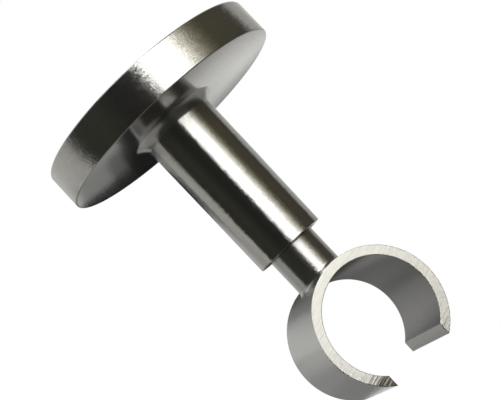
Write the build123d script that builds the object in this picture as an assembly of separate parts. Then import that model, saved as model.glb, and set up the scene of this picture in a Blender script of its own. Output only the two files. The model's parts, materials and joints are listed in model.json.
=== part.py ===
"""Ceiling bracket for a 20 mm inner-track curtain pole, in millimetres.

The rose and its slim tapered stem are one casting, which screws onto a bolt in the ceiling. The head is a short
length of tube, slotted along its underside so that the gliders in the pole can pass, brazed to a round neck. The
neck's threaded spigot is screwed into the stem until its shoulder seats on the stem's end.

Frame: the origin is the middle of the rose's back, which lies on the ceiling. +Z points up into the ceiling and
+X runs along the pole.
"""

from build123d import *
import math
import os

# Rose: the round foot against the ceiling
ROSE_DIAMETER = 45.5
ROSE_THICKNESS = 6.9
ROSE_FACE_EDGE_BREAK = 0.25
ROSE_BACK_EDGE_BREAK = 0.4
RELIEF_DEPTH = 0.8
RELIEF_RIM_WIDTH = 3.0
RELIEF_HUB_DIAMETER = 16.0

# Stem: slightly tapered, with a small flared foot where it leaves the rose
STEM_LENGTH = 30.4
STEM_ROOT_DIAMETER = 14.0
STEM_END_DIAMETER = 13.5
STEM_END_EDGE_BREAK = 0.15
FOOT_SPREAD = 1.75
FOOT_HEIGHT = 1.8
FOOT_ARC_RADIUS = 3.2

# Threaded holes, drawn as plain bores at their M6 thread's outer diameter
THREAD_DIAMETER = 6.0
THREAD_CLEARANCE = 0.05
CEILING_HOLE_DEPTH = 14.0
NECK_HOLE_DEPTH = 13.0
HOLE_COUNTERSINK = 0.5
DRILL_POINT_ANGLE = 118.0

# Head: slotted ring on a round neck with a threaded spigot
POLE_DIAMETER = 20.0
POLE_CLEARANCE = 0.2
RING_WALL = 1.8
RING_WIDTH = 19.2
RING_EDGE_BREAK = 0.12
RING_DROP = 56.3
SLOT_WIDTH = 12.8
NECK_DIAMETER = 9.4
NECK_SHOULDER_EDGE_BREAK = 0.15
NECK_BRAZE_RADIUS = 0.6
SPIGOT_LENGTH = 11.5
SPIGOT_END_CHAMFER = 0.7

# What follows from them
rose_radius = ROSE_DIAMETER / 2
rose_face_z = -ROSE_THICKNESS
stem_end_z = rose_face_z - STEM_LENGTH
stem_taper = (STEM_ROOT_DIAMETER - STEM_END_DIAMETER) / 2 / STEM_LENGTH
thread_radius = THREAD_DIAMETER / 2
neck_radius = NECK_DIAMETER / 2
ring_inner_radius = POLE_DIAMETER / 2 + POLE_CLEARANCE
ring_outer_radius = ring_inner_radius + RING_WALL
ring_centre_z = -RING_DROP
pole_plane = Plane(origin=(0, 0, ring_centre_z), x_dir=(0, 1, 0), z_dir=(1, 0, 0))


def stem_radius(z):
    """Radius of the tapered stem at height z."""
    return STEM_ROOT_DIAMETER / 2 - stem_taper * (rose_face_z - z)


def vertical_bar(radius, low_z, high_z):
    """Round bar on the stem's axis between two heights."""
    return Pos(0, 0, (low_z + high_z) / 2) * Cylinder(radius, high_z - low_z)


def drilled_hole(mouth_z, depth, into):
    """Blind hole on the stem's axis, with a countersunk mouth and a drill point; into is +1 upwards, -1 down."""
    radius = thread_radius + THREAD_CLEARANCE
    point = radius / math.tan(math.radians(DRILL_POINT_ANGLE / 2))
    with BuildSketch(Plane.XZ) as section:
        with BuildLine():
            Polyline(
                (0, mouth_z),
                (radius + HOLE_COUNTERSINK, mouth_z),
                (radius, mouth_z + into * HOLE_COUNTERSINK),
                (radius, mouth_z + into * depth),
                (0, mouth_z + into * (depth + point)),
                close=True,
            )
        make_face()
    return revolve(section.sketch, axis=Axis.Z)


def rose_and_stem_section():
    """Half section of the outside: the rose's edge and face, the flared foot and the stem."""
    foot_end_z = rose_face_z - FOOT_HEIGHT
    foot_start = (stem_radius(foot_end_z) + FOOT_SPREAD, rose_face_z)
    foot_end = (stem_radius(foot_end_z), foot_end_z)
    end_break_z = stem_end_z + STEM_END_EDGE_BREAK
    with BuildSketch(Plane.XZ) as section:
        with BuildLine():
            Polyline(
                (0, 0),
                (rose_radius - ROSE_BACK_EDGE_BREAK, 0),
                (rose_radius, -ROSE_BACK_EDGE_BREAK),
                (rose_radius, rose_face_z + ROSE_FACE_EDGE_BREAK),
                (rose_radius - ROSE_FACE_EDGE_BREAK, rose_face_z),
                foot_start,
            )
            RadiusArc(foot_start, foot_end, -FOOT_ARC_RADIUS)
            Polyline(
                foot_end,
                (stem_radius(end_break_z), end_break_z),
                (stem_radius(stem_end_z) - STEM_END_EDGE_BREAK, stem_end_z),
                (0, stem_end_z),
                (0, 0),
            )
        make_face()
    return section.sketch


def make_rose_and_stem():
    """The casting, with a relieved back that bears on its rim and hub, and a threaded hole at each end."""
    body = revolve(rose_and_stem_section(), axis=Axis.Z)
    relief = vertical_bar(rose_radius - RELIEF_RIM_WIDTH, -RELIEF_DEPTH, 0)
    relief -= vertical_bar(RELIEF_HUB_DIAMETER / 2, -RELIEF_DEPTH, 0)
    body -= relief
    body -= drilled_hole(0, CEILING_HOLE_DEPTH, -1)
    body -= drilled_hole(stem_end_z, NECK_HOLE_DEPTH, 1)
    return body


def make_pole_ring():
    """The head: a slice of tube with the neck brazed on, bored, slotted along its underside and deburred."""
    tube = pole_plane * Cylinder(ring_outer_radius, RING_WIDTH)
    neck = vertical_bar(neck_radius, ring_centre_z, stem_end_z)
    neck = chamfer(neck.edges().sort_by(Axis.Z)[-1], NECK_SHOULDER_EDGE_BREAK)
    head = tube + neck
    braze_line = [edge for edge in head.edges() if edge.geom_type not in (GeomType.CIRCLE, GeomType.LINE)]
    head = fillet(braze_line, NECK_BRAZE_RADIUS)
    head -= pole_plane * Cylinder(ring_inner_radius, RING_WIDTH)
    slot = Box(RING_WIDTH, SLOT_WIDTH, 2 * ring_outer_radius, align=(Align.CENTER, Align.CENTER, Align.MAX))
    head -= Pos(0, 0, ring_centre_z) * slot
    rims = [
        edge
        for edge in head.edges().filter_by(GeomType.CIRCLE)
        if math.isclose(abs(edge.position_at(0.5).X), RING_WIDTH / 2)
    ]
    head = chamfer(rims, RING_EDGE_BREAK)
    spigot = vertical_bar(thread_radius, stem_end_z, stem_end_z + SPIGOT_LENGTH)
    spigot = chamfer(spigot.edges().sort_by(Axis.Z)[-1], SPIGOT_END_CHAMFER)
    return head + spigot


os.makedirs("parts", exist_ok=True)
pieces = {"rose_and_stem": make_rose_and_stem(), "pole_ring": make_pole_ring()}
for name, piece in pieces.items():
    export_step(piece, f"parts/{name}.step")
    size = piece.bounding_box().size
    print(f"{name}: {piece.volume:.0f} mm3, {size.X:.2f} x {size.Y:.2f} x {size.Z:.2f} mm")
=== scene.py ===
# %% [markdown]
# # A brushed nickel ceiling bracket for a curtain pole
# The bracket has two real pieces. A round rose with a slim stem is cast in one and screwed to the
# ceiling. A slotted ring on a short neck is screwed into the stem, and the curtain pole slides through
# it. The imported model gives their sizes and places. This lesson models both again as smooth meshes and
# gives them their brushed finish.

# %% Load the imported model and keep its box
import json
import math

import bmesh
import bpy
from mathutils import Matrix, Vector


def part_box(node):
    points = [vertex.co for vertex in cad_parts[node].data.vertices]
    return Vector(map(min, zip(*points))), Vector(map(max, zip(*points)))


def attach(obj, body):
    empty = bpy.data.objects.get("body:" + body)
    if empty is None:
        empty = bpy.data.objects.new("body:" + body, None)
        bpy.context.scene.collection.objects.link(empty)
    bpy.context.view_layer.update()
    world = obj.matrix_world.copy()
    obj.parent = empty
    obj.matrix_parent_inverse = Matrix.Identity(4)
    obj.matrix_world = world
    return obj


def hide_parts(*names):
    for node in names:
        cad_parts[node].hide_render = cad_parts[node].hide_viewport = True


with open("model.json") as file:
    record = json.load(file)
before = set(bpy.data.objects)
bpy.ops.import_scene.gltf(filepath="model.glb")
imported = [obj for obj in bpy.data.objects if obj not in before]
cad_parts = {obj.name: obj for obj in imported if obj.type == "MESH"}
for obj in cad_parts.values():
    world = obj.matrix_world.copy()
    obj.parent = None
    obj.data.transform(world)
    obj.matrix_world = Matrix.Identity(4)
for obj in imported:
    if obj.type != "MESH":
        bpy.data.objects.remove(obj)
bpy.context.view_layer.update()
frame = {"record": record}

# %% [markdown]
# Sizes come from the frame wherever it holds them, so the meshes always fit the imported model. A box gives
# the rose's radius and the ring's outside, and the record's mounts give the pole bore and the ceiling
# thread. Small sizes that no box or mount holds, such as edge breaks, are named where they are first
# used.

# %% Read the main sizes from the frame
MM = 0.001
mounts = {mount["name"]: mount for mount in frame["record"]["mounts"]}
rose_low, rose_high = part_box("rose_and_stem")
ring_low, ring_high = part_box("pole_ring")
rose_radius = rose_high.x
stem_end_z = rose_low.z
spigot_top_z = ring_high.z
ring_half_width = ring_high.x
ring_outer_radius = ring_high.y
ring_inner_radius = mounts["pole_bore"]["dims"]["r_mm"] * MM
ring_centre_z = mounts["pole_bore"]["pos_m"][2]
lip_drop = ring_centre_z - ring_low.z
slot_half_width = math.sqrt(ring_outer_radius**2 - lip_drop**2)
hole_radius = mounts["ceiling_thread"]["dims"]["r_mm"] * MM
print(f"ring bore {2 * ring_inner_radius / MM:.1f} mm, slot {2 * slot_half_width / MM:.1f} mm")

# %% [markdown]
# ## Camera
# The photograph looks at the bracket from a little below the rose and from beside the pole, and the
# picture is turned so that the stem runs from upper left to lower right. A camera placed by azimuth,
# elevation and distance from a point on the stem, and then rolled about its own axis, repeats that with
# few numbers.

# %% Place the camera
CAMERA_AZIMUTH = math.radians(70.9)
CAMERA_ELEVATION = math.radians(-5.1)
CAMERA_ROLL = math.radians(-43.3)
CAMERA_DISTANCE = 199.8 * MM
CAMERA_TARGET = Vector((0.0, 0.25 * MM, -26.55 * MM))
CAMERA_LENS = 81.5
CAMERA_SENSOR_WIDTH = 36.0
CLIP_NEAR = 0.01
CLIP_FAR = 20.0

toward_camera = Vector((
    math.sin(CAMERA_AZIMUTH) * math.cos(CAMERA_ELEVATION),
    -math.cos(CAMERA_AZIMUTH) * math.cos(CAMERA_ELEVATION),
    math.sin(CAMERA_ELEVATION),
))
camera_data = bpy.data.cameras.new("camera")
camera_data.lens = CAMERA_LENS
camera_data.sensor_width = CAMERA_SENSOR_WIDTH
camera_data.clip_start = CLIP_NEAR
camera_data.clip_end = CLIP_FAR
camera = bpy.data.objects.new("camera", camera_data)
bpy.context.scene.collection.objects.link(camera)
level_turn = (-toward_camera).to_track_quat("-Z", "Y").to_matrix().to_4x4()
place = Matrix.Translation(CAMERA_TARGET + toward_camera * CAMERA_DISTANCE)
camera.matrix_world = place @ level_turn @ Matrix.Rotation(CAMERA_ROLL, 4, "Z")
bpy.context.scene.camera = camera
bpy.context.scene.view_settings.view_transform = "Standard"
print("camera at", tuple(round(value, 4) for value in camera.matrix_world.translation))

# %% [markdown]
# ## Studio
# Brushed metal has little colour of its own: it shows what stands around it. The photograph doesn't show
# its room, but the reflections look like one soft lamp near the camera, in a dark room, with pale walls
# behind the bracket. Many separate lamps could repeat that, but a round wall that only reflections see is
# quicker to tune and leaves no noise. A radial gradient and a colour ramp paint it once round, so each
# stop says what stands in that direction. Low down the wall grows dim, as if the lamp hung above the
# bracket. The stops were set until the metal's light and dark bands came near the photograph's.
# They belong to this one picture and not to the metal, which is pale and nearly even in plain white light.

# %% Helpers for node trees and objects
def add_node(tree, kind, **settings):
    """Add a node, set its properties, and set the values of its input sockets by name."""
    node = tree.nodes.new(kind)
    for name, value in settings.items():
        if hasattr(node, name):
            setattr(node, name, value)
        else:
            node.inputs[name.replace("_", " ").title()].default_value = value
    return node


def join(tree, *pairs):
    """Link pairs of an output socket and an input socket."""
    for out_socket, in_socket in pairs:
        tree.links.new(out_socket, in_socket)


def add_object(name, work):
    """Make a mesh object at the origin from a finished bmesh."""
    mesh = bpy.data.meshes.new(name)
    work.to_mesh(mesh)
    work.free()
    made = bpy.data.objects.new(name, mesh)
    bpy.context.scene.collection.objects.link(made)
    return made


def new_material(name):
    """Make an empty node material and return it with its tree and output node."""
    material = bpy.data.materials.new(name)
    material.use_nodes = True
    material.node_tree.nodes.clear()
    output = add_node(material.node_tree, "ShaderNodeOutputMaterial")
    return material, material.node_tree, output


def only_in_reflections(piece):
    piece.visible_camera = False
    piece.visible_diffuse = False
    piece.visible_shadow = False


# %% What stands round the bracket, by azimuth in degrees
DARK_ROOM = (0.022, 0.022, 0.019)
LAMP = (2.7, 2.7, 2.68)
WALL_STOPS = [
    # Pale wall behind, on the camera's left
    (-180, (0.58, 0.58, 0.57)),
    (-160, (0.57, 0.57, 0.56)),
    (-120, (0.44, 0.44, 0.42)),
    (-111, (0.38, 0.38, 0.36)),
    # Dark room on the left and round the camera
    (-102.5, DARK_ROOM),
    (-67, (0.042, 0.043, 0.033)),
    (-42, (0.020, 0.020, 0.019)),
    (-20, DARK_ROOM),
    # Lamp on the camera's right, with a sharp edge on one side and a soft one on the other
    (-13, (0.040, 0.040, 0.037)),
    (-10, (0.27, 0.27, 0.26)),
    (-6.5, LAMP),
    (20, LAMP),
    (27.5, (1.55, 1.52, 1.40)),
    (36, (0.74, 0.72, 0.62)),
    (44, (0.28, 0.26, 0.19)),
    # Warm shade beyond the lamp, with one darker line
    (53, (0.130, 0.118, 0.078)),
    (57, (0.095, 0.085, 0.057)),
    (58.5, (0.055, 0.048, 0.035)),
    (62, (0.085, 0.077, 0.056)),
    (86, (0.074, 0.067, 0.052)),
    (101, (0.046, 0.043, 0.036)),
    # Pale wall behind, on the camera's right, lightest nearly straight behind
    (108.5, (0.41, 0.41, 0.39)),
    (128, (0.43, 0.43, 0.41)),
    (148, (0.82, 0.82, 0.80)),
    (154, (1.06, 1.06, 1.03)),
    (161, (0.84, 0.84, 0.82)),
    (168, (0.86, 0.86, 0.84)),
    (180, (0.58, 0.58, 0.57)),
]
print("wall with", len(WALL_STOPS), "stops")

# %% Paint the studio wall
WALL_RADIUS = 0.60
WALL_HALF_HEIGHT = 2.0
WALL_SEGMENTS = 96
DIM_BELOW = 0.0
DIMMEST_BELOW = -0.24
DIMMEST = 0.40


def paint_studio_wall():
    """Emission that changes with the direction round the bracket and grows dim low down."""
    material, tree, output = new_material("studio_wall_paint")
    coordinates = add_node(tree, "ShaderNodeTexCoord")
    parts = add_node(tree, "ShaderNodeSeparateXYZ")
    around = add_node(tree, "ShaderNodeTexGradient", gradient_type="RADIAL")
    ramp = add_node(tree, "ShaderNodeValToRGB")
    level = add_node(tree, "ShaderNodeMapRange", From_Min=DIMMEST_BELOW, From_Max=DIM_BELOW, To_Min=DIMMEST)
    emission = add_node(tree, "ShaderNodeEmission")
    elements = ramp.color_ramp.elements
    (first, first_colour), *between, (last, last_colour) = WALL_STOPS
    for degrees, colour in between:
        elements.new((degrees - first) / (last - first)).color = (*colour, 1)
    elements[0].color = (*first_colour, 1)
    elements[-1].color = (*last_colour, 1)
    join(
        tree,
        (coordinates.outputs["Object"], parts.inputs["Vector"]),
        (coordinates.outputs["Object"], around.inputs["Vector"]),
        (around.outputs["Fac"], ramp.inputs["Fac"]),
        (ramp.outputs["Color"], emission.inputs["Color"]),
        (parts.outputs["Z"], level.inputs["Value"]),
        (level.outputs["Result"], emission.inputs["Strength"]),
        (emission.outputs["Emission"], output.inputs["Surface"]),
    )
    return material


wall_work = bmesh.new()
bmesh.ops.create_cone(
    wall_work,
    cap_ends=False,
    segments=WALL_SEGMENTS,
    radius1=WALL_RADIUS,
    radius2=WALL_RADIUS,
    depth=2 * WALL_HALF_HEIGHT,
)
studio_wall = add_object("studio_wall", wall_work)
studio_wall.data.materials.append(paint_studio_wall())
only_in_reflections(studio_wall)
print("studio wall:", len(studio_wall.data.polygons), "faces")

# %% [markdown]
# Cards finish the studio, as they do on a photographer's table. Black and grey ones hang close behind the
# bracket. Their mirror image darkens the rose's face beside the stem, the ring's bore and its underside,
# and draws the thin dark line down the stem's left edge. A pale one, nearer, lights the ring beside its
# slot. A grey card at the side widens the light strip on the stem's left, and a curved dark one in front
# ends the lamp below. Under the bracket lies a disc of two halves, dark on the camera's side and grey
# behind, where the stem's hollow foot and the small edge breaks look. Planes could be scaled and turned
# into place, but an edge swept sideways or spun round the bracket needs only the card's own limits.

# %% Helpers for the cards
CARD_STEPS = 32


def of_kind(result, kind):
    """Pick the vertices, edges or faces out of what an operator returns."""
    return [item for item in result["geom"] if isinstance(item, kind)]


def show_card(name, work, colour):
    """Give a card plain emission, so that it looks the same from everywhere, and keep it to reflections."""
    material, tree, output = new_material(name + "_paint")
    emission = add_node(tree, "ShaderNodeEmission", Color=(*colour, 1))
    join(tree, (emission.outputs["Emission"], output.inputs["Surface"]))
    card = add_object(name, work)
    card.data.materials.append(material)
    only_in_reflections(card)
    print(name, "with", len(card.data.polygons), "faces")


def hang_card(name, back, sides, heights, colour):
    """Sweep one upright edge sideways into a flat card behind the bracket, with places in millimetres."""
    left, right = (side * MM for side in sides)
    work = bmesh.new()
    ends = [work.verts.new((back * MM, left, z * MM)) for z in heights]
    swept = bmesh.ops.extrude_edge_only(work, edges=[work.edges.new(ends)])
    bmesh.ops.translate(work, verts=of_kind(swept, bmesh.types.BMVert), vec=(0, right - left, 0))
    show_card(name, work, colour)


def bend_card(name, start, end, azimuths, colour):
    """Spin an edge between two (radius, height) points round the bracket: a curved card or a flat sector."""
    work = bmesh.new()
    start_turn = Matrix.Rotation(math.radians(azimuths[0]), 3, "Z")
    ends = [work.verts.new(start_turn @ Vector((radius, 0, z))) for radius, z in (start, end)]
    bmesh.ops.spin(
        work,
        geom=[*ends, work.edges.new(ends)],
        axis=(0, 0, 1),
        cent=(0, 0, 0),
        angle=math.radians(azimuths[1] - azimuths[0]),
        steps=CARD_STEPS,
    )
    show_card(name, work, colour)


# %% Hang the cards behind the bracket
BLACK = (0.012, 0.012, 0.012)
DARK_GREY = (0.12, 0.12, 0.115)
GREY = (0.24, 0.24, 0.235)
MID_GREY = (0.34, 0.34, 0.33)
LIGHT_GREY = (0.42, 0.42, 0.41)
PALE = (1.10, 1.10, 1.08)
CARD_BACK_MM = -73
PALE_CARD_BACK_MM = -40

hang_card("long_black_card", CARD_BACK_MM, (-85, 8.5), (-17.6, 0), BLACK)
hang_card("tall_black_card", CARD_BACK_MM, (8.5, 33), (-78, -6), BLACK)
hang_card("grey_card", CARD_BACK_MM, (-8, 3), (-36, -17.6), GREY)
hang_card("dark_grey_card", CARD_BACK_MM, (3, 8.5), (-36, -17.6), DARK_GREY)
hang_card("slim_grey_card", CARD_BACK_MM, (33, 60), (-14, -6), LIGHT_GREY)
hang_card("low_black_card", CARD_BACK_MM, (12, 45), (-115, -78), BLACK)
hang_card("low_mid_grey_card", CARD_BACK_MM, (-34, 3), (-78, -46), MID_GREY)
hang_card("low_grey_card", CARD_BACK_MM, (-34, 12), (-115, -79), GREY)
hang_card("pale_card", PALE_CARD_BACK_MM, (-2, 6.5), (-95, -75), PALE)

# %% Bend the cards at the side, in front and below
DARK = (0.030, 0.030, 0.027)
DIM_GREY = (0.26, 0.26, 0.25)
SIDE_GREY = (0.62, 0.62, 0.59)
SIDE_RADIUS = 0.54
SIDE_TOP_Z = 0.04
FRONT_RADIUS = 0.55
FRONT_FOOT_Z = -0.60
FRONT_TOP_Z = -0.105
DISC_Z = -0.20
DISC_INNER = (0.01, DISC_Z)
DISC_OUTER = (0.45, DISC_Z)

bend_card("side_card", (SIDE_RADIUS, FRONT_TOP_Z), (SIDE_RADIUS, SIDE_TOP_Z), (-113, -98), SIDE_GREY)
bend_card("front_card", (FRONT_RADIUS, FRONT_FOOT_Z), (FRONT_RADIUS, FRONT_TOP_Z), (-150, 75), DARK)
bend_card("low_front_card", DISC_INNER, DISC_OUTER, (-98, 100), DARK)
bend_card("low_back_card", DISC_INNER, DISC_OUTER, (100, 262), DIM_GREY)

# %% [markdown]
# The floor is a plain pale disc below the bracket. The studio doesn't light it, so the world does. The
# world is white wherever the camera, a reflection or glass looks at it, and a little dimmer for light
# that falls on dull surfaces. One strength for both would make either the background grey or the floor
# too bright, so Light Path tells those rays from the rest.

# %% Floor
FLOOR_DROP = 0.30
FLOOR_RADIUS = 0.90
FLOOR_SEGMENTS = 64
FLOOR_LOOK = {"Base_Color": (0.86, 0.86, 0.85, 1), "Roughness": 0.9}

floor_work = bmesh.new()
bmesh.ops.create_circle(floor_work, cap_ends=True, segments=FLOOR_SEGMENTS, radius=FLOOR_RADIUS)
bmesh.ops.translate(floor_work, verts=floor_work.verts, vec=(0, 0, -FLOOR_DROP))
floor = add_object("floor", floor_work)
floor_paint, floor_tree, floor_output = new_material("floor_paint")
floor_shader = add_node(floor_tree, "ShaderNodeBsdfPrincipled", **FLOOR_LOOK)
join(floor_tree, (floor_shader.outputs["BSDF"], floor_output.inputs["Surface"]))
floor.data.materials.append(floor_paint)
print("floor:", floor.name)

# %% World
WHITE = (1, 1, 1, 1)
ROOM_LIGHT = 0.8

world = bpy.data.worlds.new("studio_world")
world.use_nodes = True
bpy.context.scene.world = world
world_tree = world.node_tree
background = world_tree.nodes["Background"]
background.inputs["Color"].default_value = WHITE
light_path = add_node(world_tree, "ShaderNodeLightPath")
camera_or_glossy = add_node(world_tree, "ShaderNodeMath", operation="MAXIMUM")
or_transmission = add_node(world_tree, "ShaderNodeMath", operation="MAXIMUM")
strength = add_node(world_tree, "ShaderNodeMapRange", To_Min=ROOM_LIGHT)
join(
    world_tree,
    (light_path.outputs["Is Camera Ray"], camera_or_glossy.inputs[0]),
    (light_path.outputs["Is Glossy Ray"], camera_or_glossy.inputs[1]),
    (camera_or_glossy.outputs["Value"], or_transmission.inputs[0]),
    (light_path.outputs["Is Transmission Ray"], or_transmission.inputs[1]),
    (or_transmission.outputs["Value"], strength.inputs["Value"]),
    (strength.outputs["Result"], background.inputs["Strength"]),
)
print("world:", world.name)

# %% [markdown]
# ## Brush lines
# Every surface that shows in use was brushed, ground or turned, which leaves fine lines side by side over
# a small grain. The lines give faint streaks of tone and a little height. The grain tips the surface this
# way and that, and so the lamp's edge looks ragged on the metal. One node group makes both for all
# finishes. The lines are noise that is squeezed across them and stretched along them. The third
# coordinate runs across the lines, so each material only has to say which way that is. The grain could be
# bump too, but bump blurs what is as small as a pixel. The three channels of a noise colour, added to the
# normal, tip it as sharply from near and far.

# %% Sockets of the group
LINE_INPUTS = {
    "Vector": "NodeSocketVector",
    "Line Length": "NodeSocketFloat",
    "Line Spacing": "NodeSocketFloat",
    "Grain Size": "NodeSocketFloat",
    "Grain Tilt": "NodeSocketFloat",
    "Dark Tone": "NodeSocketColor",
    "Light Tone": "NodeSocketColor",
    "Roughness": "NodeSocketFloat",
    "Roughness Spread": "NodeSocketFloat",
}
LINE_OUTPUTS = {
    "Tone": "NodeSocketColor",
    "Roughness": "NodeSocketFloat",
    "Height": "NodeSocketFloat",
    "Normal": "NodeSocketVector",
}

brush_lines = bpy.data.node_groups.new("brush_lines", "ShaderNodeTree")
for in_out, sockets in (("INPUT", LINE_INPUTS), ("OUTPUT", LINE_OUTPUTS)):
    for name, kind in sockets.items():
        brush_lines.interface.new_socket(name, in_out=in_out, socket_type=kind)
group_in = add_node(brush_lines, "NodeGroupInput")
group_out = add_node(brush_lines, "NodeGroupOutput")
print("group:", brush_lines.name, "with", len(LINE_INPUTS), "inputs and", len(LINE_OUTPUTS), "outputs")

# %% Lines of the group
FINE_NOISE = {"Scale": 1.0, "Detail": 3.0, "Roughness": 0.6}
LINE_CONTRAST = {"From_Min": 0.32, "From_Max": 0.68}
NOISE_MIDDLE = 0.5
# A Mix node repeats its socket names for each kind of value, so its colours go by number.
MIX_FIRST = 6
MIX_SECOND = 7
MIX_RESULT = 2


def add_lines(tree):
    """Put squeezed noise into the group, and make tone, roughness and height of it."""
    size = add_node(tree, "ShaderNodeCombineXYZ")
    squeezed = add_node(tree, "ShaderNodeVectorMath", operation="DIVIDE")
    lines = add_node(tree, "ShaderNodeTexNoise", **FINE_NOISE)
    contrast = add_node(tree, "ShaderNodeMapRange", **LINE_CONTRAST)
    tone = add_node(tree, "ShaderNodeMix", data_type="RGBA")
    centred = add_node(tree, "ShaderNodeMath", operation="SUBTRACT")
    centred.inputs[1].default_value = NOISE_MIDDLE
    rough = add_node(tree, "ShaderNodeMath", operation="MULTIPLY_ADD")
    join(
        tree,
        (group_in.outputs["Line Length"], size.inputs["X"]),
        (group_in.outputs["Line Length"], size.inputs["Y"]),
        (group_in.outputs["Line Spacing"], size.inputs["Z"]),
        (group_in.outputs["Vector"], squeezed.inputs[0]),
        (size.outputs["Vector"], squeezed.inputs[1]),
        (squeezed.outputs["Vector"], lines.inputs["Vector"]),
        (lines.outputs["Fac"], contrast.inputs["Value"]),
        (contrast.outputs["Result"], tone.inputs["Factor"]),
        (group_in.outputs["Dark Tone"], tone.inputs[MIX_FIRST]),
        (group_in.outputs["Light Tone"], tone.inputs[MIX_SECOND]),
        (lines.outputs["Fac"], centred.inputs[0]),
        (centred.outputs["Value"], rough.inputs[0]),
        (group_in.outputs["Roughness Spread"], rough.inputs[1]),
        (group_in.outputs["Roughness"], rough.inputs[2]),
        (tone.outputs[MIX_RESULT], group_out.inputs["Tone"]),
        (rough.outputs["Value"], group_out.inputs["Roughness"]),
        (lines.outputs["Fac"], group_out.inputs["Height"]),
    )


add_lines(brush_lines)
print("with lines:", len(brush_lines.nodes), "nodes")

# %% Grain of the group
GRAIN_NOISE = {"Detail": 1.0, "Roughness": 0.5}


def add_grain(tree):
    """Put a noise colour into the group, and add it to the surface's normal."""
    per_metre = add_node(tree, "ShaderNodeMath", operation="DIVIDE")
    per_metre.inputs[0].default_value = 1.0
    grain = add_node(tree, "ShaderNodeTexNoise", **GRAIN_NOISE)
    both_ways = add_node(tree, "ShaderNodeVectorMath", operation="SUBTRACT")
    both_ways.inputs[1].default_value = (NOISE_MIDDLE, NOISE_MIDDLE, NOISE_MIDDLE)
    tilt = add_node(tree, "ShaderNodeVectorMath", operation="SCALE")
    surface = add_node(tree, "ShaderNodeNewGeometry")
    tipped = add_node(tree, "ShaderNodeVectorMath", operation="ADD")
    normal = add_node(tree, "ShaderNodeVectorMath", operation="NORMALIZE")
    join(
        tree,
        (group_in.outputs["Grain Size"], per_metre.inputs[1]),
        (group_in.outputs["Vector"], grain.inputs["Vector"]),
        (per_metre.outputs["Value"], grain.inputs["Scale"]),
        (grain.outputs["Color"], both_ways.inputs[0]),
        (both_ways.outputs["Vector"], tilt.inputs[0]),
        (group_in.outputs["Grain Tilt"], tilt.inputs["Scale"]),
        (surface.outputs["Normal"], tipped.inputs[0]),
        (tilt.outputs["Vector"], tipped.inputs[1]),
        (tipped.outputs["Vector"], normal.inputs[0]),
        (normal.outputs["Vector"], group_out.inputs["Normal"]),
    )


add_grain(brush_lines)
print("with grain:", len(brush_lines.nodes), "nodes")

# %% [markdown]
# A brushed surface reflects sharply along its lines and softly across them. The Principled shader does
# that with its anisotropy, and a radial Tangent node tells it which way round the axis is. A quarter turn
# of the anisotropy lays the soft direction along the axis, across the lines. Most pieces were brushed
# while they turned, so one helper also lets the pattern's third coordinate run along the axis or away
# from it.

# %% Brushed metal from the group
ACROSS_THE_LINES = 0.25


def brushed_metal(name, turn_axis, anisotropic, bump_height, **line_values):
    """Metal with brush lines round one axis; returns the material and the nodes that others build on."""
    material, tree, output = new_material(name)
    shader = add_node(tree, "ShaderNodeBsdfPrincipled", Metallic=1.0, Anisotropic=anisotropic)
    shader.inputs["Anisotropic Rotation"].default_value = ACROSS_THE_LINES
    tangent = add_node(tree, "ShaderNodeTangent", direction_type="RADIAL", axis=turn_axis)
    coordinates = add_node(tree, "ShaderNodeTexCoord")
    lines = add_node(tree, "ShaderNodeGroup", node_tree=brush_lines)
    for socket, value in line_values.items():
        lines.inputs[socket.replace("_", " ").title()].default_value = value
    bump = add_node(tree, "ShaderNodeBump", Distance=bump_height)
    join(
        tree,
        (tangent.outputs["Tangent"], shader.inputs["Tangent"]),
        (lines.outputs["Tone"], shader.inputs["Base Color"]),
        (lines.outputs["Roughness"], shader.inputs["Roughness"]),
        (lines.outputs["Height"], bump.inputs["Height"]),
        (lines.outputs["Normal"], bump.inputs["Normal"]),
        (bump.outputs["Normal"], shader.inputs["Normal"]),
        (shader.outputs["BSDF"], output.inputs["Surface"]),
    )
    print("finish:", name)
    return material, {"coordinates": coordinates, "lines": lines, "shader": shader}


# %% Lines round the stem's axis or the pole's
AXIS_POINTS = {"Z": (0, 0, 0), "X": (0, 0, ring_centre_z)}


def lines_round_axis(material, nodes, axis):
    """Let the lines run round an axis: across them is along the axis or away from it."""
    tree = material.node_tree
    others = [letter for letter in "XYZ" if letter != axis]
    moved = add_node(tree, "ShaderNodeVectorMath", operation="SUBTRACT")
    moved.inputs[1].default_value = AXIS_POINTS[axis]
    parts = add_node(tree, "ShaderNodeSeparateXYZ")
    flat = add_node(tree, "ShaderNodeCombineXYZ")
    away = add_node(tree, "ShaderNodeVectorMath", operation="LENGTH")
    across = add_node(tree, "ShaderNodeMath", operation="ADD")
    packed = add_node(tree, "ShaderNodeCombineXYZ")
    join(
        tree,
        (nodes["coordinates"].outputs["Object"], moved.inputs[0]),
        (moved.outputs["Vector"], parts.inputs["Vector"]),
        (parts.outputs[others[0]], flat.inputs["X"]),
        (parts.outputs[others[1]], flat.inputs["Y"]),
        (flat.outputs["Vector"], away.inputs[0]),
        (away.outputs["Value"], across.inputs[0]),
        (parts.outputs[axis], across.inputs[1]),
        (parts.outputs[others[0]], packed.inputs["X"]),
        (parts.outputs[others[1]], packed.inputs["Y"]),
        (across.outputs["Value"], packed.inputs["Z"]),
        (packed.outputs["Vector"], nodes["lines"].inputs["Vector"]),
    )


def turned_metal(name, axis, **values):
    """Brushed metal with its lines round the stem's axis, which is Z, or the pole's, which is X."""
    material, nodes = brushed_metal(name, axis, **values)
    lines_round_axis(material, nodes, axis)
    return material


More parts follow.
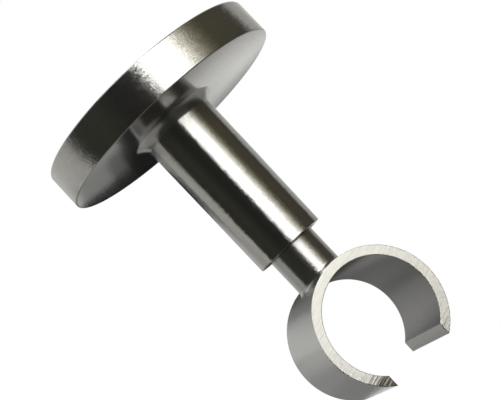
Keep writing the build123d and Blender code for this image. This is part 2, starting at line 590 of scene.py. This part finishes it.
# %% [markdown]
# The stem, the neck and the rose's rim were brushed while they turned, so their lines run round the
# stem's axis. The stem is the shiniest part of the bracket. The rim was rubbed over once more, which
# softens the edges of what it mirrors, and the neck is a drawn bar and softer still. The three share
# their lines and differ only in grain, anisotropy and roughness. The rose's flat face was only skimmed.

# %% Brushed nickel of the stem
TURNED_LINES = {
    "bump_height": 0.01 * MM,
    "line_length": 2.0 * MM,
    "line_spacing": 0.22 * MM,
    "dark_tone": (0.60, 0.59, 0.56, 1),
    "light_tone": (0.66, 0.65, 0.62, 1),
    "roughness_spread": 0.08,
}

turned_nickel = turned_metal(
    "turned_nickel",
    "Z",
    anisotropic=1.0,
    grain_size=0.20 * MM,
    grain_tilt=0.26,
    roughness=0.19,
    **TURNED_LINES,
)

# %% Rubbed nickel of the rose's rim and drawn nickel of the neck
FINER_GRAIN = {"grain_size": 0.15 * MM, "grain_tilt": 0.32}

rubbed_nickel = turned_metal(
    "rubbed_nickel",
    "Z",
    anisotropic=0.9,
    roughness=0.23,
    **FINER_GRAIN,
    **TURNED_LINES,
)
drawn_nickel = turned_metal(
    "drawn_nickel",
    "Z",
    anisotropic=0.8,
    roughness=0.29,
    **FINER_GRAIN,
    **TURNED_LINES,
)

# %% Faced nickel of the rose's face
faced_nickel = turned_metal(
    "faced_nickel",
    "Z",
    anisotropic=0.6,
    bump_height=0.004 * MM,
    line_length=2.0 * MM,
    line_spacing=0.18 * MM,
    grain_size=0.4 * MM,
    grain_tilt=0.06,
    dark_tone=(0.60, 0.59, 0.57, 1),
    light_tone=(0.65, 0.64, 0.62, 1),
    roughness=0.165,
    roughness_spread=0.05,
)

# %% [markdown]
# Nobody sees the rose's back once it is on the ceiling, so it was left as it came from the mould: dull,
# with a coarse grain and no lines. Equal line length and spacing turn the lines into plain grain, so the
# same helper makes it.

# %% Cast nickel of the rose's back
cast_nickel = turned_metal(
    "cast_nickel",
    "Z",
    anisotropic=0.0,
    bump_height=0.05 * MM,
    line_length=0.6 * MM,
    line_spacing=0.6 * MM,
    grain_size=0.3 * MM,
    grain_tilt=0.8,
    dark_tone=(0.42, 0.41, 0.39, 1),
    light_tone=(0.54, 0.53, 0.51, 1),
    roughness=0.52,
    roughness_spread=0.15,
)

# %% [markdown]
# The ring's tube has an even satin finish, with lines round the pole's axis. Its bore was left as the
# tube was drawn and is duller, and its darker tone is painted shade inside the tube. Both have the same
# lines, so only tones and roughness are given twice.

# %% Satin nickel of the ring's tube, and bore nickel with painted shade inside it
TUBE_LINES = {
    "anisotropic": 0.6,
    "bump_height": 0.01 * MM,
    "line_length": 2.5 * MM,
    "line_spacing": 0.25 * MM,
    "grain_size": 0.4 * MM,
    "grain_tilt": 0.12,
    "roughness_spread": 0.06,
}

satin_nickel = turned_metal(
    "satin_nickel",
    "X",
    dark_tone=(0.66, 0.655, 0.64, 1),
    light_tone=(0.72, 0.715, 0.70, 1),
    roughness=0.24,
    **TUBE_LINES,
)
bore_nickel_painted_shade = turned_metal(
    "bore_nickel_painted_shade",
    "X",
    # Darker tones than the tube's: painted shade inside the tube.
    dark_tone=(0.40, 0.395, 0.385, 1),
    light_tone=(0.46, 0.455, 0.445, 1),
    roughness=0.37,
    **TUBE_LINES,
)

# %% [markdown]
# The ring was sawn from a tube and its end faces were ground flat, so their lines are straight and all
# run one way. A Mapping node turns the coordinates until the third one lies across them. Beside the slot
# the cutter left deeper, dark streaks, most of them at one lip. They could be painted on, but then they
# would need a picture. Here they are a second, longer noise along the same lines, and show wherever that
# noise plus a mask that grows towards the slot passes a limit.

# %% Ground nickel of the ring's end faces, lightened with painted light
GRIND_ANGLE = math.radians(14)

ground_nickel_painted_light, ground_nodes = brushed_metal(
    "ground_nickel_painted_light",
    "X",
    anisotropic=0.0,
    bump_height=0.01 * MM,
    line_length=3.0 * MM,
    line_spacing=0.22 * MM,
    grain_size=0.4 * MM,
    grain_tilt=0.08,
    # Lighter tones than the other nickels': painted light of the lamp on the end faces, over their ground
    # finish.
    dark_tone=(0.80, 0.785, 0.725, 1),
    light_tone=(0.97, 0.955, 0.895, 1),
    roughness=0.48,
    roughness_spread=0.10,
)
ground_tree = ground_nickel_painted_light.node_tree
along_grind = add_node(ground_tree, "ShaderNodeMapping", Rotation=(-GRIND_ANGLE, 0, 0))
join(
    ground_tree,
    (ground_nodes["coordinates"].outputs["Object"], along_grind.inputs["Vector"]),
    (along_grind.outputs["Vector"], ground_nodes["lines"].inputs["Vector"]),
)

# %% Mask that grows towards the slot
STREAK_START = 4.2 * MM
STREAK_FULL = 11.6 * MM
LIP_CHANGE = 1.0 * MM
FAR_LIP_SHARE = 0.48

parts = add_node(ground_tree, "ShaderNodeSeparateXYZ")
below_axis = add_node(
    ground_tree,
    "ShaderNodeMapRange",
    From_Min=ring_centre_z - STREAK_START,
    From_Max=ring_centre_z - STREAK_FULL,
)
which_lip = add_node(
    ground_tree,
    "ShaderNodeMapRange",
    From_Min=-LIP_CHANGE,
    From_Max=LIP_CHANGE,
    To_Min=1.0,
    To_Max=FAR_LIP_SHARE,
)
mask = add_node(ground_tree, "ShaderNodeMath", operation="MULTIPLY")
join(
    ground_tree,
    (ground_nodes["coordinates"].outputs["Object"], parts.inputs["Vector"]),
    (parts.outputs["Z"], below_axis.inputs["Value"]),
    (parts.outputs["Y"], which_lip.inputs["Value"]),
    (below_axis.outputs["Result"], mask.inputs[0]),
    (which_lip.outputs["Result"], mask.inputs[1]),
)
print("mask in", ground_nickel_painted_light.name)

# %% Dark streaks where noise and mask pass the limit
STREAK_SIZE = (4.0 * MM, 4.0 * MM, 0.17 * MM)
STREAK_TONE = (0.10, 0.09, 0.062, 1)
STREAK_LIMITS = {"From_Min": 0.66, "From_Max": 0.90}
MASK_SHARE = 0.66

squeezed = add_node(ground_tree, "ShaderNodeVectorMath", operation="DIVIDE")
squeezed.inputs[1].default_value = STREAK_SIZE
streaks = add_node(ground_tree, "ShaderNodeTexNoise", **FINE_NOISE)
raised = add_node(ground_tree, "ShaderNodeMath", operation="MULTIPLY_ADD")
raised.inputs[1].default_value = MASK_SHARE
amount = add_node(ground_tree, "ShaderNodeMapRange", **STREAK_LIMITS)
streaked = add_node(ground_tree, "ShaderNodeMix", data_type="RGBA")
streaked.inputs[MIX_SECOND].default_value = STREAK_TONE
join(
    ground_tree,
    (along_grind.outputs["Vector"], squeezed.inputs[0]),
    (squeezed.outputs["Vector"], streaks.inputs["Vector"]),
    (mask.outputs["Value"], raised.inputs[0]),
    (streaks.outputs["Fac"], raised.inputs[2]),
    (raised.outputs["Value"], amount.inputs["Value"]),
    (amount.outputs["Result"], streaked.inputs["Factor"]),
    (ground_nodes["lines"].outputs["Tone"], streaked.inputs[MIX_FIRST]),
    (streaked.outputs[MIX_RESULT], ground_nodes["shader"].inputs["Base Color"]),
)
print("streaks in", ground_nickel_painted_light.name)

# %% [markdown]
# ## Rose and stem
# The casting is round about the stem's axis, as if it came off a lathe. Cylinders and cones could be
# joined, but half of its section, spun once round, gives the whole piece with clean rings of faces. The
# section starts in the ceiling hole, goes over the back and the rim, along the face and down the foot and
# stem, and ends in the hole for the neck. The foot is a hollow arc, made by spinning one vertex round the
# arc's centre.

# %% Helpers for turned sections
MERGE_DISTANCE = 0.0005 * MM


def chain(work, corners):
    """Add a chain of vertices and edges in the XZ plane from (radius, height) corners."""
    verts = [work.verts.new((radius, 0, z)) for radius, z in corners]
    for first, second in zip(verts, verts[1:]):
        work.edges.new((first, second))
    return verts


def round_off(work, geom, size, segments, affect):
    """Round corner vertices of a chain, or sharp edges of a mesh."""
    bmesh.ops.bevel(
        work,
        geom=geom,
        offset=size,
        offset_type="OFFSET",
        affect=affect,
        segments=segments,
        profile=0.5,
        material=-1,
    )


def hollow_arc(work, start, end, radius, steps):
    """Join two (radius, height) points by an arc that is hollow on its outer side."""
    start, end = (Vector((out, 0, z)) for out, z in (start, end))
    chord = end - start
    outward = Vector((-chord.z, 0, chord.x)).normalized()
    centre = (start + end) / 2 + outward * math.sqrt(radius**2 - chord.length_squared / 4)
    angle = 2 * math.asin(chord.length / 2 / radius)
    bmesh.ops.spin(
        work,
        geom=[work.verts.new(start)],
        axis=(0, 1, 0),
        cent=centre,
        angle=-angle,
        steps=steps,
    )


def turn(work, steps):
    """Join the chains, spin them once round Z and close the poles."""
    bmesh.ops.remove_doubles(work, verts=work.verts, dist=MERGE_DISTANCE)
    bmesh.ops.spin(
        work,
        geom=work.verts[:] + work.edges[:],
        axis=(0, 0, 1),
        cent=(0, 0, 0),
        angle=2 * math.pi,
        steps=steps,
        use_merge=True,
    )
    bmesh.ops.remove_doubles(work, verts=work.verts, dist=MERGE_DISTANCE)
    bmesh.ops.recalc_face_normals(work, faces=work.faces)


# %% Sizes of the rose and stem
ROSE_THICKNESS = 6.9 * MM
ROSE_FACE_EDGE_BREAK = 0.25 * MM
ROSE_BACK_EDGE_BREAK = 0.4 * MM
RELIEF_DEPTH = 0.8 * MM
RELIEF_RIM_WIDTH = 3.0 * MM
RELIEF_HUB_RADIUS = 8.0 * MM
STEM_ROOT_RADIUS = 7.0 * MM
STEM_END_RADIUS = 6.75 * MM
STEM_END_EDGE_BREAK = 0.15 * MM
FOOT_SPREAD = 1.75 * MM
FOOT_HEIGHT = 1.8 * MM
FOOT_ARC_RADIUS = 3.2 * MM
CEILING_HOLE_DEPTH = 14.0 * MM
NECK_HOLE_DEPTH = 13.0 * MM
HOLE_COUNTERSINK = 0.5 * MM
DRILL_POINT_ANGLE = math.radians(118)

hole_point = hole_radius / math.tan(DRILL_POINT_ANGLE / 2)
rose_face_z = -ROSE_THICKNESS
stem_length = rose_face_z - stem_end_z
foot_end_radius = STEM_ROOT_RADIUS - (STEM_ROOT_RADIUS - STEM_END_RADIUS) * FOOT_HEIGHT / stem_length
foot_start = (foot_end_radius + FOOT_SPREAD, rose_face_z)
foot_end = (foot_end_radius, rose_face_z - FOOT_HEIGHT)
print(f"rose {2 * rose_radius / MM:.1f} mm wide, stem {stem_length / MM:.1f} mm long")

# %% Draw the half section
FOOT_ARC_STEPS = 12
ROSE_EDGE_SEGMENTS = 4
STEM_EDGE_SEGMENTS = 3

rose_work = bmesh.new()
top = chain(
    rose_work,
    [
        (0, -CEILING_HOLE_DEPTH - hole_point),
        (hole_radius, -CEILING_HOLE_DEPTH),
        (hole_radius, -HOLE_COUNTERSINK),
        (hole_radius + HOLE_COUNTERSINK, 0),
        (RELIEF_HUB_RADIUS, 0),
        (RELIEF_HUB_RADIUS, -RELIEF_DEPTH),
        (rose_radius - RELIEF_RIM_WIDTH, -RELIEF_DEPTH),
        (rose_radius - RELIEF_RIM_WIDTH, 0),
        (rose_radius, 0),
        (rose_radius, rose_face_z),
        foot_start,
    ],
)
stem = chain(
    rose_work,
    [
        foot_end,
        (STEM_END_RADIUS, stem_end_z),
        (hole_radius + HOLE_COUNTERSINK, stem_end_z),
        (hole_radius, stem_end_z + HOLE_COUNTERSINK),
        (hole_radius, stem_end_z + NECK_HOLE_DEPTH),
        (0, stem_end_z + NECK_HOLE_DEPTH + hole_point),
    ],
)
back_corner, face_corner = top[-3:-1]
stem_corner = stem[1]
round_off(rose_work, [back_corner], ROSE_BACK_EDGE_BREAK, ROSE_EDGE_SEGMENTS, "VERTICES")
round_off(rose_work, [face_corner], ROSE_FACE_EDGE_BREAK, ROSE_EDGE_SEGMENTS, "VERTICES")
round_off(rose_work, [stem_corner], STEM_END_EDGE_BREAK, STEM_EDGE_SEGMENTS, "VERTICES")
hollow_arc(rose_work, foot_start, foot_end, FOOT_ARC_RADIUS, FOOT_ARC_STEPS)
print("half section:", len(rose_work.verts), "vertices")

# %% [markdown]
# After the spin each face takes the finish of its place: the flat face, the relief in the back, the rim,
# and the stem with all the rest. They could be picked by hand in the editor, but the height of a face and
# its distance from the axis already tell where it lies. Gentle edges are shaded smooth and hard ones stay
# sharp.

# %% Helper that finishes a piece
SMOOTH_BELOW = math.radians(14)


def finish_piece(piece, materials, node):
    """Smooth the gentle edges, keep the hard ones, add the finishes, hang the piece on the root and hide the
    node's imported part.
    """
    for polygon in piece.data.polygons:
        polygon.use_smooth = True
    piece.data.set_sharp_from_angle(angle=SMOOTH_BELOW)
    for material in materials:
        piece.data.materials.append(material)
    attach(piece, "root")
    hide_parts(node)


# %% Spin the rose and stem
TURN_STEPS = 256
rose_finishes = [turned_nickel, faced_nickel, cast_nickel, rubbed_nickel]


def rose_finish(centre):
    """Finish of a face of the casting, from the middle of the face."""
    if abs(centre.z - rose_face_z) < MERGE_DISTANCE:
        return faced_nickel
    if abs(centre.z + RELIEF_DEPTH) < MERGE_DISTANCE:
        return cast_nickel
    if centre.xy.length > rose_radius - ROSE_BACK_EDGE_BREAK:
        return rubbed_nickel
    return turned_nickel


turn(rose_work, TURN_STEPS)
for face in rose_work.faces:
    face.material_index = rose_finishes.index(rose_finish(face.calc_center_median()))
rose = add_object("rose_and_stem_turned", rose_work)
finish_piece(rose, rose_finishes, "rose_and_stem")
print("rose and stem:", len(rose.data.polygons), "faces")

# %% [markdown]
# The hole in the back is tapped M6 for the bolt in the ceiling. A bump could fake the thread, but it
# shows from the back, so it is a real ridge. One small trapezium is spun round the hole many times while
# every step also lifts it by its share of the pitch, so it climbs as a right-hand screw.

# %% Thread of the ceiling hole
THREAD_PITCH = 1.0 * MM
THREAD_TIP_RADIUS = 2.5 * MM
THREAD_ROOT_HALF = 0.45 * MM
THREAD_TIP_HALF = 0.08 * MM
THREAD_SINK = 0.05 * MM
THREAD_TURNS = 11
THREAD_STEPS = 48
THREAD_START_Z = -12.5 * MM

thread_work = bmesh.new()
trapezium = [
    (hole_radius + THREAD_SINK, -THREAD_ROOT_HALF),
    (THREAD_TIP_RADIUS, -THREAD_TIP_HALF),
    (THREAD_TIP_RADIUS, THREAD_TIP_HALF),
    (hole_radius + THREAD_SINK, THREAD_ROOT_HALF),
]
thread_end = thread_work.faces.new(
    [thread_work.verts.new((radius, 0, THREAD_START_Z + rise)) for radius, rise in trapezium]
)
bmesh.ops.spin(
    thread_work,
    geom=[*thread_end.verts, *thread_end.edges, thread_end],
    axis=(0, 0, 1),
    cent=(0, 0, 0),
    dvec=(0, 0, THREAD_PITCH / THREAD_STEPS),
    angle=2 * math.pi * THREAD_TURNS,
    steps=THREAD_STEPS * THREAD_TURNS,
)
bmesh.ops.recalc_face_normals(thread_work, faces=thread_work.faces)
thread = add_object("ceiling_thread_ridge", thread_work)
finish_piece(thread, [turned_nickel], "rose_and_stem")
print("thread:", len(thread.data.polygons), "faces")

# %% [markdown]
# ## Ring
# The ring is a short length of tube with a straight slot sawn along its underside. A tube could be cut by
# a boolean, but that leaves ragged faces at the slot. Two arcs, each spun from one vertex on the slot's
# side, are bridged into the end face instead, and that face is extruded along the pole. Its edges are
# then broken with a small bevel, as a file does.

# %% Bridge and extrude the slotted ring
RING_STEPS = 192


def ring_arc(work, radius):
    """Spin one vertex round the pole's axis, from one side of the slot to the other."""
    half_gap = math.asin(slot_half_width / radius)
    start_z = ring_centre_z - radius * math.cos(half_gap)
    bmesh.ops.spin(
        work,
        geom=[work.verts.new((ring_half_width, slot_half_width, start_z))],
        axis=(1, 0, 0),
        cent=(0, 0, ring_centre_z),
        angle=2 * math.pi - 2 * half_gap,
        steps=RING_STEPS,
    )


ring_work = bmesh.new()
ring_arc(ring_work, ring_inner_radius)
ring_arc(ring_work, ring_outer_radius)
bmesh.ops.bridge_loops(ring_work, edges=ring_work.edges[:])
swept = bmesh.ops.extrude_face_region(ring_work, geom=ring_work.faces[:])
bmesh.ops.translate(ring_work, verts=of_kind(swept, bmesh.types.BMVert), vec=(-2 * ring_half_width, 0, 0))
bmesh.ops.recalc_face_normals(ring_work, faces=ring_work.faces)
print("plain ring:", len(ring_work.faces), "faces")

# %% Give the ring its finishes and break its edges
RING_EDGE_BREAK = 0.12 * MM
RING_EDGE_SEGMENTS = 2
SHARP_ABOVE = math.radians(50)
FACES_THE_END = 0.5
FACES_THE_AXIS = 0.9
ring_finishes = [satin_nickel, ground_nickel_painted_light, bore_nickel_painted_shade]


def ring_finish(face):
    """Finish of a face of the ring, from the way it faces."""
    centre = face.calc_center_median()
    inward = Vector((0, -centre.y, ring_centre_z - centre.z))
    if abs(face.normal.x) > FACES_THE_END:
        return ground_nickel_painted_light
    if face.normal.dot(inward) > FACES_THE_AXIS * inward.length:
        return bore_nickel_painted_shade
    return satin_nickel


for face in ring_work.faces:
    face.material_index = ring_finishes.index(ring_finish(face))
sharp_edges = [edge for edge in ring_work.edges if edge.calc_face_angle(0) > SHARP_ABOVE]
round_off(ring_work, sharp_edges, RING_EDGE_BREAK, RING_EDGE_SEGMENTS, "EDGES")
ring = add_object("slotted_ring", ring_work)
finish_piece(ring, ring_finishes, "pole_ring")
print("slotted ring:", len(ring.data.polygons), "faces")

# %% [markdown]
# ## Neck
# The neck is a drawn bar with a spigot turned on its end, brazed to the top of the ring. A boolean and a
# bevel could join the two, but the line where they meet is saddle-shaped and bevels badly. The upper half
# is spun like the stem. Its lower edge is then extruded ring by ring, and each new ring of vertices is
# dropped onto the tube's curved top, a little wider each time, so that it ends in the small hollow fillet
# that the braze leaves.

# %% Spin the neck and its spigot
NECK_STEPS = 160
NECK_RADIUS = 4.7 * MM
NECK_EDGE_BREAK = 0.15 * MM
NECK_ROOT_CLEARANCE = 1.5 * MM
SPIGOT_RADIUS = 3.0 * MM
SPIGOT_CHAMFER = 0.7 * MM

neck_work = bmesh.new()
chain(
    neck_work,
    [
        (0, spigot_top_z),
        (SPIGOT_RADIUS - SPIGOT_CHAMFER, spigot_top_z),
        (SPIGOT_RADIUS, spigot_top_z - SPIGOT_CHAMFER),
        (SPIGOT_RADIUS, stem_end_z),
        (NECK_RADIUS - NECK_EDGE_BREAK, stem_end_z),
        (NECK_RADIUS, stem_end_z - NECK_EDGE_BREAK),
        (NECK_RADIUS, ring_centre_z + ring_outer_radius + NECK_ROOT_CLEARANCE),
    ],
)
turn(neck_work, NECK_STEPS)
print("neck and spigot:", len(neck_work.faces), "faces")

# %% Lead the neck down into its braze
NECK_SINK = 0.9 * MM
BRAZE_RADIUS = 0.6 * MM
BRAZE_STEPS = 12
BRAZE_LEAD = 1.2 * BRAZE_RADIUS


def tube_top(y):
    """Height of the ring's outer surface at distance y to the side."""
    return ring_centre_z + math.sqrt(ring_outer_radius**2 - y**2)


def braze_ring(step):
    """Radius of one ring of the braze's hollow quarter round, and its height above the tube."""
    angle = step / BRAZE_STEPS * math.pi / 2
    return NECK_RADIUS + BRAZE_RADIUS * (1 - math.cos(angle)), BRAZE_RADIUS * (1 - math.sin(angle))


neck_rings = [
    (NECK_RADIUS, BRAZE_LEAD),
    *(braze_ring(step) for step in range(BRAZE_STEPS + 1)),
    (NECK_RADIUS + BRAZE_RADIUS, -NECK_SINK),
]
root_loop = [edge for edge in neck_work.edges if edge.is_boundary]
for radius, rise in neck_rings:
    grown = bmesh.ops.extrude_edge_only(neck_work, edges=root_loop)
    root_loop = of_kind(grown, bmesh.types.BMEdge)
    for vert in of_kind(grown, bmesh.types.BMVert):
        vert.co.xy = vert.co.xy.normalized() * radius
        vert.co.z = tube_top(vert.co.y) + rise
bmesh.ops.edgeloop_fill(neck_work, edges=root_loop)
bmesh.ops.recalc_face_normals(neck_work, faces=neck_work.faces)
print("neck with braze:", len(neck_work.faces), "faces")

# %% Give the neck its finishes
neck_finishes = [drawn_nickel, satin_nickel]


def neck_finish(centre):
    """Finish of a face of the neck, from the middle of the face: the braze was rubbed down with the tube."""
    return satin_nickel if centre.z < tube_top(centre.y) + BRAZE_RADIUS else drawn_nickel


for face in neck_work.faces:
    face.material_index = neck_finishes.index(neck_finish(face.calc_center_median()))
neck = add_object("neck", neck_work)
finish_piece(neck, neck_finishes, "pole_ring")
print("neck:", len(neck.data.polygons), "faces")
